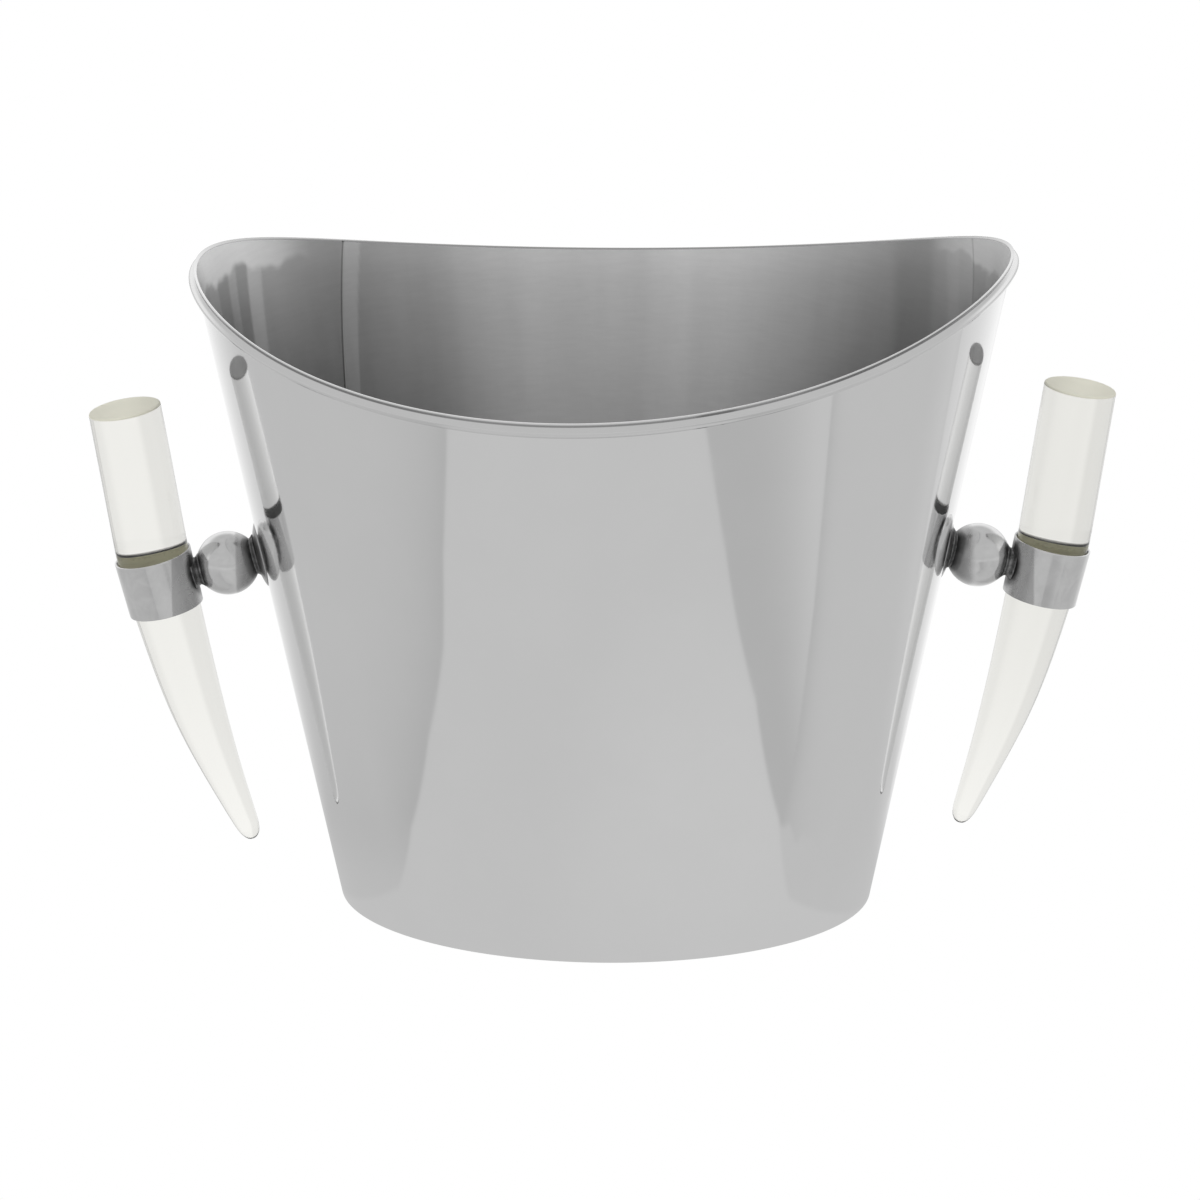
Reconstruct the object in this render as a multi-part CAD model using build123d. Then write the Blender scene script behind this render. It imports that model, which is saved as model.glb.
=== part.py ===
from build123d import *
import math
import os

os.makedirs("parts", exist_ok=True)

# Oval champagne bucket with two resin horn handles, in millimetres.
#
# The origin is the centre of the underside, +Z is up, +X runs along the long axis of the
# oval towards the right-hand handle and -Y is the front. The body is a tapered oval drum
# of sheet whose top edge rises to a peak above each handle and dips at the front and the
# back. Each handle hangs on one fixed stub: a domed rosette against the wall, a solid
# ball, a saddle and a sleeve that grips a curved horn. The stubs are set a little round
# from the ends of the oval, one a half turn from the other, and the cut rim stands
# slightly higher on the right.

# ---------------------------------------------------------------- body sizes
BASE_HALF_X = 107.4  # half width of the oval at the underside
BASE_HALF_Y = 85.2
LEAN_OUT = 53.0 / 260.0  # how far the wall leans out, on every side, per mm of height
BLANK_TOP = 278.0  # top of the drum before the rim is cut
OVERRUN = 5.0  # cutting drums run this far past the blank at both ends
SHEET = 1.1  # wall sheet
WALL_ACROSS = SHEET / math.cos(math.atan(LEAN_OUT))  # wall sheet measured horizontally
PAN_SHEET = 1.2  # bottom sheet
PAN_FLANGE = 10.0  # height of the bottom's turned-up flange
PAN_CORNER_R = 2.0
PAN_TOOL_WIDTH = 400  # wider than the body

# ---------------------------------------------------------------- rim wave
PEAK_Z = 264.0  # height of the rim above each handle, before the tilt
DIP = 30.2  # how far the rim drops at the front and the back
RIM_TILT = 0.018  # rise of the cut rim per mm towards the right
MOUTH_HALF = 160.0  # half width the wave is measured over
WAVE_2, WAVE_4, WAVE_6 = 0.787, 0.156, 0.057  # rim wave, even powers of x
CUT_HALF_X = 184  # extent of the cutting block that shapes the rim
CUT_HALF_Y = 200
CUT_TOP = 330
CUT_STEP = 8  # spacing of the wave's spline points

# ---------------------------------------------------------------- rim bead
BEAD_DROP = 1.1  # bare sheet left showing above the bead
BEAD_TALL = 4.2
BEAD_THICK = 2.6
SOLDER = 0.03  # solder film between the bead and the wall
BEAD_POINTS = 72  # spline points round the rim
BEAD_GUIDE_OUT = 6  # wall surface to the curve that steers the bead's section

# ---------------------------------------------------------------- handle stub
# Distances along the stub run outward from the wall surface unless noted.
MOUNT_Z = 143.1  # height where the stub leaves the wall
STUB_TILT = 14.2  # degrees the stub points below the horizontal
MOUNT_TURN = 7.4  # degrees round the oval, from its long axis, where each stub is set
BALL_R = 12.7
BALL_OUT = 14.0  # wall surface to ball centre
COLLAR_OUT = 28.3  # ball centre to sleeve centre
ROSETTE_R = 13.0
ROSETTE_APEX = 2.9
ROSETTE_ROUND = 0.9  # radius of the rounded edge
ROSETTE_ROUND_OUT = 0.8  # height of the rounding's centre
ROSETTE_ROOT = -4.0  # back of the blank, inside the wall
DOME_STEPS = 12
NECK_R = 6.5
NECK_START, NECK_END = 0.5, 8.0
SADDLE_R = 5.8
SADDLE_START = BALL_OUT + 9
SADDLE_END = BALL_OUT + COLLAR_OUT - 8
STUD_R = 3.0
WALL_CLEARANCE = 0.2  # added to the stud radius for each kind of hole
WASHER_CLEARANCE = 0.2
GASKET_CLEARANCE = 0.1
FIT_CLEARANCE = 0.05
BORE_START, BORE_END = -40, 60  # long enough to pass through any piece on the stub

# ---------------------------------------------------------------- inside fixings
GASKET_R = 10.0
GASKET_T = 1.6
GASKET_BLANK_END = 4  # past the wall, then trimmed to its inner face
WASHER_R = 10.0
WASHER_T = 1.2
NUT_AF = 10.0  # across flats
NUT_HEX = 5.0  # height of the hexagon
NUT_TALL = 9.0  # height with the dome
NUT_CHAMFER = 1.0
NUT_SEAT_R = NUT_AF / 2 + 0.05  # narrow end of the chamfer
NUT_DOME_R = NUT_AF / 2 - 0.4
NUT_BORE_DEPTH = 7.2
GASKET_FACE = -(SHEET + GASKET_T)  # gasket meets washer
NUT_FACE = GASKET_FACE - WASHER_T  # washer meets nut
STUD_START = NUT_FACE - 6.5
STUD_SPARE = 1  # nut bore runs this far past its face

# ---------------------------------------------------------------- sleeve and horn
COLLAR_LEAN = 12.7  # degrees the sleeve leans out going up
COLLAR_TALL = 22.8
COLLAR_TOP_R, COLLAR_BOTTOM_R = 15.5, 15.0
COLLAR_WALL = 0.75
BEDDING_SET = 1.2  # adhesive stops this far inside each end of the sleeve
BEDDING_BLANK = 60  # wider than the sleeve
HORN_SEAT = 1.9  # the right horn sits this much higher in its sleeve, the left lower
HORN_EDGE = 0.8  # radius round the top edge
STUD_END = BALL_OUT + COLLAR_OUT - COLLAR_TOP_R
# height from the sleeve centre, sideways offset outward, diameter
HORN_STATIONS = [
    (74.0, 12.15, 28.8), (62.5, 10.35, 28.95), (48.0, 8.10, 29.0), (34.0, 6.00, 29.0),
    (22.0, 4.18, 29.0), (11.0, 2.42, 28.85), (0.0, 0.02, 28.1), (-11.0, -2.75, 26.8),
    (-24.0, -5.90, 25.4), (-36.7, -9.15, 23.9), (-49.4, -12.70, 22.0), (-62.1, -16.75, 19.5),
    (-74.9, -21.30, 16.4), (-87.7, -26.20, 13.2), (-98.0, -30.30, 10.6), (-102.6, -32.20, 9.2),
    (-105.4, -33.35, 7.4), (-107.0, -34.00, 5.3), (-107.8, -34.35, 3.2), (-108.1, -34.47, 1.4),
]


# ---------------------------------------------------------------- body shapes
def oval_size(z, inset=0.0):
    """Half width and half depth of the oval at height z."""
    lean = LEAN_OUT * z - inset
    return BASE_HALF_X + lean, BASE_HALF_Y + lean


def oval_solid(z_low, z_high, inset=0.0):
    """Tapered oval prism whose side is one ruled surface."""
    rings = [Plane.XY.offset(z) * Ellipse(*oval_size(z, inset)) for z in (z_low, z_high)]
    return loft(rings, ruled=True)


def long_oval(inset=0.0):
    """Tapered oval that overruns the drum, for cutting."""
    return oval_solid(-OVERRUN, BLANK_TOP + OVERRUN, inset)


def rim_z(x):
    """Height of the cut rim at x."""
    u = abs(x) / MOUTH_HALF
    wave = WAVE_2 * u**2 + WAVE_4 * u**4 + WAVE_6 * u**6
    return PEAK_Z - DIP + DIP * wave + RIM_TILT * x


def above_rim():
    """Everything above the rim wave."""
    points = [(x, rim_z(x)) for x in range(-CUT_HALF_X, CUT_HALF_X + 1, CUT_STEP)]
    with BuildPart() as block:
        with BuildSketch(Plane.XZ):
            with BuildLine():
                wave = Spline(points)
                Polyline(wave @ 1, (CUT_HALF_X, CUT_TOP), (-CUT_HALF_X, CUT_TOP), wave @ 0)
            make_face()
        extrude(amount=CUT_HALF_Y, both=True)
    return block.part


wall_outside = long_oval()
wall_inside = long_oval(WALL_ACROSS)

# ---------------------------------------------------------------- handle frames
# The right-hand handle is built in place; the left is the same a half turn round.
wall_x, wall_y = oval_size(MOUNT_Z)
turn = math.radians(MOUNT_TURN)
mount = Vector(wall_x * math.cos(turn), wall_y * math.sin(turn), MOUNT_Z)
facing = math.atan2(mount.Y / wall_y**2, mount.X / wall_x**2)  # heading of the wall's normal
across = Vector(-math.sin(facing), math.cos(facing), 0)


def heading(out, up):
    """Vector in the handle's upright plane, out from the wall and up."""
    return Vector(out * math.cos(facing), out * math.sin(facing), up)


tilt = math.radians(STUB_TILT)
stub_dir = heading(math.cos(tilt), -math.sin(tilt))
stub = Plane(origin=mount, x_dir=across, z_dir=stub_dir)
ball_centre = mount + stub_dir * BALL_OUT

wall_normal = Vector(
    mount.X / wall_x**2,
    mount.Y / wall_y**2,
    -LEAN_OUT * (mount.X**2 / wall_x**3 + mount.Y**2 / wall_y**3),
).normalized()
wall_face = Plane(origin=mount, x_dir=across, z_dir=wall_normal)

collar_lean = math.radians(COLLAR_LEAN)
collar_dir = heading(math.sin(collar_lean), math.cos(collar_lean))
collar_centre = ball_centre + stub_dir * COLLAR_OUT
sleeve = Plane(origin=collar_centre, x_dir=across, z_dir=collar_dir)


# ---------------------------------------------------------------- helpers
def rod(radius, start, end):
    """Round bar along the stub axis."""
    return stub * Pos(0, 0, (start + end) / 2) * Cylinder(radius, end - start)


def through_bore(clearance):
    """Cutter for the stud's hole through a piece."""
    return rod(STUD_R + clearance, BORE_START, BORE_END)


def turned(points):
    """Solid of revolution about the stub axis from (radius, along) points."""
    with BuildPart() as solid:
        with BuildSketch(Plane.XZ):
            with BuildLine():
                Polyline(*points, close=True)
            make_face()
        revolve(axis=Axis.Z)
    return stub * solid.part


def half_turn(shape):
    return Rot(0, 0, 180) * shape


def largest(shape):
    """Biggest solid, leaving out slivers cut off beside it."""
    return max(shape.solids(), key=lambda solid: solid.volume)


def save(name, shape):
    solids = shape.solids()
    piece = solids[0] if len(solids) == 1 else Compound(children=list(solids))
    piece.label = name
    export_step(piece, f"parts/{name}.step")


# ---------------------------------------------------------------- body pieces
def body_shell():
    hole = through_bore(WALL_CLEARANCE)
    holes = hole + half_turn(hole)
    return oval_solid(0, BLANK_TOP) - wall_inside - above_rim() - holes


def base_pan():
    """Oval bottom with a flange turned up inside the wall."""
    slab = Pos(0, 0, PAN_FLANGE / 2) * Box(PAN_TOOL_WIDTH, PAN_TOOL_WIDTH, PAN_FLANGE)
    hollow = long_oval(WALL_ACROSS + PAN_SHEET)
    above = Pos(0, 0, PAN_SHEET + 50) * Box(PAN_TOOL_WIDTH, PAN_TOOL_WIDTH, 100)
    pan = (wall_inside & slab) - (hollow & above)
    inside_edges = [
        edge
        for edge in pan.edges().filter_by(GeomType.LINE, reverse=True)
        if abs(edge.center().Z - PAN_SHEET) < 0.01
    ]
    # The corner stays square if the kernel can't round it.
    try:
        rounded = fillet(inside_edges, PAN_CORNER_R)
        if rounded.is_valid and len(rounded.solids()) == 1:
            pan = rounded
    except Exception:
        pass
    return pan


def rim_point(angle, drop, stand_off):
    """Point on the outer wall, drop below the rim edge, stand_off along the normal."""
    z = PEAK_Z
    # The oval's width and the rim's height depend on each other, so settle them in turns.
    for _ in range(30):
        x = oval_size(z)[0] * math.cos(angle)
        z = rim_z(x) - drop
    half_x, half_y = oval_size(z)
    x, y = half_x * math.cos(angle), half_y * math.sin(angle)
    flat = Vector(x / half_x**2, y / half_y**2, 0).normalized()
    normal = Vector(flat.X, flat.Y, -LEAN_OUT).normalized()
    return Vector(x, y, z) + normal * stand_off


def rim_bead():
    """Half-oval bead swept round the outside of the wall, just below the rim."""
    half_tall = BEAD_TALL / 2
    middle = BEAD_DROP + half_tall
    angles = [2 * math.pi * i / BEAD_POINTS for i in range(BEAD_POINTS)]
    path, guide = [
        Edge.make_spline([rim_point(angle, middle, out) for angle in angles], periodic=True)
        for out in (0, BEAD_GUIDE_OUT)
    ]
    start = rim_point(0, middle, 0)
    out_dir = (rim_point(0, middle, 1) - start).normalized()
    with BuildSketch(Plane(origin=start, x_dir=out_dir, z_dir=path.tangent_at(0))) as section:
        with BuildLine():
            Line((SOLDER, half_tall), (SOLDER, -half_tall))
            EllipticalCenterArc(
                (SOLDER, 0), BEAD_THICK, half_tall, start_angle=-90, arc_size=180
            )
        make_face()
    return sweep(section.sketch, path=Wire([path]), binormal=Wire([guide]))


# ---------------------------------------------------------------- stub pieces
def make_rosette_blank():
    """Shallow dome with a rounded edge, on the wall's normal, before it is cut."""
    dome_r = ROSETTE_R - ROSETTE_ROUND
    dome_fall = ROSETTE_APEX - (ROSETTE_ROUND_OUT + ROSETTE_ROUND)
    dome = []
    for i in range(DOME_STEPS + 1):
        share = i / DOME_STEPS
        dome.append((dome_r * share, ROSETTE_APEX - dome_fall * share**2))
    rounding = [
        (dome_r + ROSETTE_ROUND * math.sin(a), ROSETTE_ROUND_OUT + ROSETTE_ROUND * math.cos(a))
        for a in [math.radians(15 * j) for j in range(1, 13)]
    ]
    with BuildPart() as blank:
        with BuildSketch(Plane.XZ):
            with BuildLine():
                top = Spline(dome)
                shoulder = Spline([top @ 1] + rounding[:6])
                under = Spline([shoulder @ 1] + rounding[6:])
                Polyline(under @ 1, (dome_r, ROSETTE_ROOT), (0, ROSETTE_ROOT), top @ 0)
            make_face()
        revolve(axis=Axis.Z)
    return wall_face * blank.part


rosette_blank = make_rosette_blank()
ball_blank = Pos(*ball_centre) * Sphere(BALL_R)
stud_bore = through_bore(FIT_CLEARANCE)
collar_blank = sleeve * Cone(COLLAR_BOTTOM_R, COLLAR_TOP_R, COLLAR_TALL)
collar_bore = sleeve * Cone(
    COLLAR_BOTTOM_R - COLLAR_WALL, COLLAR_TOP_R - COLLAR_WALL, COLLAR_TALL
)


def rosette():
    return rosette_blank - wall_outside - ball_blank - stud_bore


def rosette_neck():
    """Short bar between the rosette and the ball."""
    bar = rod(NECK_R, NECK_START, NECK_END)
    return largest(bar - rosette_blank - ball_blank - wall_outside)


def collar_saddle():
    """Short bar between the ball and the sleeve."""
    bar = rod(SADDLE_R, SADDLE_START, SADDLE_END)
    return largest(bar - ball_blank - collar_blank - stud_bore)


def sealing_gasket():
    disc = rod(GASKET_R, GASKET_FACE, GASKET_BLANK_END)
    return (disc - through_bore(GASKET_CLEARANCE)) & wall_inside


def backing_washer():
    return rod(WASHER_R, NUT_FACE, GASKET_FACE) - through_bore(WASHER_CLEARANCE)


def dome_nut():
    """Hexagon chamfered on the washer side, with a domed cap and a blind bore."""
    hex_end = NUT_FACE - NUT_HEX
    nut_end = NUT_FACE - NUT_TALL
    hexagon = stub * Pos(0, 0, hex_end) * extrude(
        RegularPolygon(NUT_AF / 2, 6, major_radius=False), amount=NUT_HEX
    )
    chamfer_cone = turned([
        (0, nut_end),
        (NUT_AF, nut_end),
        (NUT_AF, NUT_FACE - NUT_CHAMFER),
        (NUT_SEAT_R, NUT_FACE),
        (0, NUT_FACE),
    ])
    dome = [
        (NUT_DOME_R * math.cos(a), hex_end - (NUT_TALL - NUT_HEX) * math.sin(a))
        for a in [math.radians(10 * k) for k in range(9)]
    ]
    cap = turned([(0, hex_end)] + dome + [(0, nut_end)])
    bore = rod(STUD_R + FIT_CLEARANCE, NUT_FACE - NUT_BORE_DEPTH, NUT_FACE + STUD_SPARE)
    return (hexagon & chamfer_cone) + cap - bore


# ---------------------------------------------------------------- horn pieces
def make_horn(shift):
    """Curved horn lofted through round stations, moved along the sleeve axis."""
    origin = collar_centre + collar_dir * shift
    centres = [heading(out, up) for up, out, _ in HORN_STATIONS]
    rings = []
    for i, (_, _, diameter) in enumerate(HORN_STATIONS):
        before = centres[max(i - 1, 0)]
        after = centres[min(i + 1, len(centres) - 1)]
        ring_plane = Plane(
            origin=origin + centres[i], x_dir=across, z_dir=(before - after).normalized()
        )
        rings.append(ring_plane * Circle(diameter / 2))
    body = loft(rings)
    top_edge = body.edges().sort_by(Axis.Z)[-1]
    # The top edge stays sharp if the kernel can't round it.
    try:
        soft = fillet(top_edge, HORN_EDGE)
        if soft.is_valid:
            body = soft
    except Exception:
        pass
    return body


def horn_bedding(horn):
    """Adhesive that fills the sleeve round the horn."""
    tall = COLLAR_TALL - 2 * BEDDING_SET
    return (collar_bore & (sleeve * Box(BEDDING_BLANK, BEDDING_BLANK, tall))) - horn


# ---------------------------------------------------------------- files
save("body_shell", body_shell())
save("base_pan", base_pan())
save("rim_bead", rim_bead())

handle_pieces = {
    "rosette": rosette(),
    "ball": ball_blank - stud_bore,
    "rosette_neck": rosette_neck(),
    "collar_saddle": collar_saddle(),
    "mounting_stud": rod(STUD_R, STUD_START, STUD_END),
    "sealing_gasket": sealing_gasket(),
    "backing_washer": backing_washer(),
    "dome_nut": dome_nut(),
    "horn_collar": collar_blank - collar_bore,
}
for name, piece in handle_pieces.items():
    save(f"right_{name}", piece)
    save(f"left_{name}", half_turn(piece))

right_horn = make_horn(HORN_SEAT)
left_horn = make_horn(-HORN_SEAT)
save("right_horn", right_horn)
save("left_horn", half_turn(left_horn))
save("right_horn_bedding", horn_bedding(right_horn))
save("left_horn_bedding", half_turn(horn_bedding(left_horn)))
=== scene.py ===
"""Flared oval bucket of polished silver with a dipped rim and two clear, curved horn handles.

Sizes are in millimetres and meshes are scaled to metres. The underside is at z = 0, the long
axis runs along x and the front faces -y. Angles round the wall start at +x (the right end),
reach the back at 90 degrees and the front at 270. The left handle is the right one turned
half round the z axis.
"""

import math

import bmesh
import bpy
import numpy as np
from mathutils import Matrix, Vector


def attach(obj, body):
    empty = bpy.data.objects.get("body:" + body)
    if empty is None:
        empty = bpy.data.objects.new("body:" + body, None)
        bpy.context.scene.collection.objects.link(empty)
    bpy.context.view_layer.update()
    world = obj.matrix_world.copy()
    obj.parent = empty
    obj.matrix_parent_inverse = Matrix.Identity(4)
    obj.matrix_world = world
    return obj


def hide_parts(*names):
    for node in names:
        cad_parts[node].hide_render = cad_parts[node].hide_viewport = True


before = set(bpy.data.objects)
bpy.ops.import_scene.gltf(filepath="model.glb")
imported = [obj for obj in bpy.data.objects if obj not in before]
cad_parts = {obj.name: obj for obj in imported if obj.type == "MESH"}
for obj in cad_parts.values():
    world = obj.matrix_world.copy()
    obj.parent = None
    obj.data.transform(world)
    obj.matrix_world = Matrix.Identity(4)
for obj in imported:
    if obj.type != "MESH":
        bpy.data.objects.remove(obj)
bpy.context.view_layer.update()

MM = 0.001

# ------------------------------------------------------------------ drum sizes
BASE_HALF_X, BASE_HALF_Y = 107.4, 85.2
FLARE = 53.0 / 260.0  # half-width gained per height
SHEET = 1.1
SHEET_ACROSS = SHEET / math.cos(math.atan(FLARE))  # sheet thickness measured level
LIP_ROUND = 0.32  # rounding of the cut sheet edge

RIM_PEAK, RIM_DIP = 264.0, 30.2
MOUTH_HALF = 160.0
RIM_CURVE = ((2, 0.787), (4, 0.156), (6, 0.057))  # power of x / MOUTH_HALF, share of the dip
RIM_TILT = 0.018

BEAD_DROP, BEAD_TALL, BEAD_THICK = 1.1, 4.2, 2.6

# ------------------------------------------------------------------ handle sizes
MOUNT_Z, MOUNT_TURN, STUB_TILT = 143.1, 7.4, 14.2  # turns and tilts in degrees
BALL_R, BALL_OUT, SLEEVE_OUT = 12.7, 14.0, 28.3
ROSETTE_R, ROSETTE_APEX = 13.0, 2.9
LEAN, SLEEVE_TALL = 12.7, 22.8
SLEEVE_TOP_R, SLEEVE_BOTTOM_R, BORE_TOP_R, BORE_BOTTOM_R = 15.5, 15.0, 14.75, 14.25
HORN_SEAT, HORN_EDGE = 1.9, 0.8
# Horn stations from the top down: height and distance outward from the sleeve centre, diameter.
HORN = [
    (74.0, 12.15, 28.8), (62.5, 10.35, 28.95), (48.0, 8.10, 29.0), (34.0, 6.00, 29.0),
    (22.0, 4.18, 29.0), (11.0, 2.42, 28.85), (0.0, 0.02, 28.1), (-11.0, -2.75, 26.8),
    (-24.0, -5.90, 25.4), (-36.7, -9.15, 23.9), (-49.4, -12.70, 22.0), (-62.1, -16.75, 19.5),
    (-74.9, -21.30, 16.4), (-87.7, -26.20, 13.2), (-98.0, -30.30, 10.6), (-102.6, -32.20, 9.2),
    (-105.4, -33.35, 7.4), (-107.0, -34.00, 5.3), (-107.8, -34.35, 3.2), (-108.1, -34.47, 1.4),
]
TIP_STATION = 15  # rings are closer together from this station to the tip

# ------------------------------------------------------------------ right handle, as placed
WALL_X, WALL_Y = BASE_HALF_X + FLARE * MOUNT_Z, BASE_HALF_Y + FLARE * MOUNT_Z
TURN = math.radians(MOUNT_TURN)
MOUNT = np.array([WALL_X * math.cos(TURN), WALL_Y * math.sin(TURN), MOUNT_Z])
FACING = math.atan2(MOUNT[1] / WALL_Y**2, MOUNT[0] / WALL_X**2)
ACROSS = np.array([-math.sin(FACING), math.cos(FACING), 0.0])
WALL_NORMAL = np.array([
    MOUNT[0] / WALL_X**2,
    MOUNT[1] / WALL_Y**2,
    -FLARE * (MOUNT[0] ** 2 / WALL_X**3 + MOUNT[1] ** 2 / WALL_Y**3),
])
WALL_NORMAL /= np.linalg.norm(WALL_NORMAL)
# level radius of curvature of the oval at the mount
WALL_CURVE_R = (
    WALL_X**2 * WALL_Y**2 * (MOUNT[0] ** 2 / WALL_X**4 + MOUNT[1] ** 2 / WALL_Y**4) ** 1.5
)


def heading(out, up):
    """Vector in the right handle's upright plane, out from the wall and up."""
    return np.array([out * math.cos(FACING), out * math.sin(FACING), up])


TILT, LEAN_ANGLE = math.radians(STUB_TILT), math.radians(LEAN)
STUB_WAY = heading(math.cos(TILT), -math.sin(TILT))
BALL = MOUNT + STUB_WAY * BALL_OUT
SLEEVE = BALL + STUB_WAY * SLEEVE_OUT
SLEEVE_WAY = heading(math.sin(LEAN_ANGLE), math.cos(LEAN_ANGLE))


def place(points, side):
    """Right-handle points for side 1; for side -1, turned half round to the left handle."""
    points = np.array(points, float)
    if side < 0:
        points[..., :2] *= -1
    return points


# ------------------------------------------------------------------ curves
def ease(x, start, end):
    """Smooth step from 0 at start to 1 at end."""
    t = np.clip((x - start) / (end - start), 0, 1)
    return t * t * (3 - 2 * t)


def patch(x, centre, half, fade):
    """1 inside centre +- half, fading to 0 over fade on both sides."""
    return 1 - ease(np.abs(x - centre), half, half + fade)


def blend(low, high, share):
    return low + (high - low) * share


def arc(centre_r, centre_z, radius, degrees):
    """Profile points on an arc, at angles counted from straight outward."""
    return [
        (centre_r + radius * math.cos(math.radians(turn)),
         centre_z + radius * math.sin(math.radians(turn)))
        for turn in degrees
    ]


def rim_z(x):
    share = np.abs(x) / MOUTH_HALF
    rise = sum(weight * share**power for power, weight in RIM_CURVE)
    return RIM_PEAK - RIM_DIP + RIM_DIP * rise + RIM_TILT * x


def rim_height(theta, inset=0.0, drop=0.0):
    """Rim height round the oval, settled by repetition because the wall flares."""
    z = np.full_like(theta, RIM_PEAK)
    for _ in range(40):
        z = rim_z((BASE_HALF_X + FLARE * z - inset) * np.cos(theta)) - drop
    return z


# ------------------------------------------------------------------ mesh helpers
def make_mesh(name, points_mm, faces, *materials):
    mesh = bpy.data.meshes.new(name)
    mesh.from_pydata([tuple(point) for point in np.asarray(points_mm, float) * MM], [], faces)
    mesh.validate()
    mesh.polygons.foreach_set("use_smooth", [True] * len(mesh.polygons))
    for material in materials:
        mesh.materials.append(material)
    mesh.update()
    piece = bpy.data.objects.new(name, mesh)
    bpy.context.scene.collection.objects.link(piece)
    return piece


def grid_faces(rows, cols, wrap_cols=True, wrap_rows=True, start=0):
    faces = []
    for row in range(rows if wrap_rows else rows - 1):
        here, above = start + row * cols, start + (row + 1) % rows * cols
        for col in range(cols if wrap_cols else cols - 1):
            beside = (col + 1) % cols
            faces.append((here + col, here + beside, above + beside, above + col))
    return faces


def fix_normals(piece):
    work = bmesh.new()
    work.from_mesh(piece.data)
    bmesh.ops.recalc_face_normals(work, faces=work.faces)
    work.to_mesh(piece.data)
    work.free()
    piece.data.update()


def sharp_by_angle(piece, degrees):
    piece.data.set_sharp_from_angle(angle=math.radians(degrees))


def paint_tone(mesh, greys):
    """Store one grey per vertex in the "tone" attribute."""
    colours = np.ones((len(greys), 4), np.float32)
    colours[:, :3] = greys[:, None]
    layer = mesh.color_attributes.new("tone", "FLOAT_COLOR", "POINT")
    layer.data.foreach_set("color", colours.ravel())


def revolve(name, profile, origin, axis, side, segs, material):
    """Turned solid from (radius, along) points: a closed loop, or both ends on the axis."""
    axis = np.asarray(axis, float) / np.linalg.norm(axis)
    beside = np.cross(axis, ACROSS)
    points, rings = [], []
    for radius, along in profile:
        centre = origin + axis * along
        if radius < 1e-6:
            rings.append((len(points), 1))
            points.append(centre)
            continue
        rings.append((len(points), segs))
        for i in range(segs):
            turn = 2 * math.pi * i / segs
            points.append(centre + radius * (math.cos(turn) * ACROSS + math.sin(turn) * beside))
    faces = []
    for (here, count), (there, next_count) in zip(rings, rings[1:] + rings[:1]):
        if count == 1 and next_count == 1:
            continue
        for i in range(segs):
            j = (i + 1) % segs
            if count == 1:
                faces.append((here, there + j, there + i))
            elif next_count == 1:
                faces.append((here + i, here + j, there))
            else:
                faces.append((here + i, here + j, there + j, there + i))
    piece = make_mesh(name, place(points, side), faces, material)
    fix_normals(piece)
    return piece


def hand_over(piece, node):
    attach(piece, "root")
    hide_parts(node)


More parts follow.
